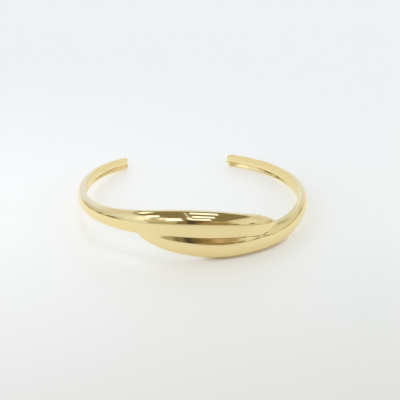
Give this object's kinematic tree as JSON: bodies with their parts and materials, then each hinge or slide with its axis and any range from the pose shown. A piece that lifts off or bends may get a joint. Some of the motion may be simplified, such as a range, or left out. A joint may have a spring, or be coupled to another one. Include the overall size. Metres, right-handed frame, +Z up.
{
  "type": "open cuff bracelet",
  "caption": "Open cuff bangle in polished gold-tone metal, its slim arms widening into two overlapping domed leaves at the front.",
  "frame": {"origin": "middle of the cuff's bounding box, on the table it rests on", "axes": "+Z up from the table, -Y towards the overlapping leaves, +Y towards the open gap, +X to the right"},
  "size_m": [0.062, 0.0566, 0.0135],
  "materials": {
    "gold": "mirror polished, gold plated"
  },
  "bodies": {
    "root": {"cuff": "gold"}
  },
  "joints": []
}
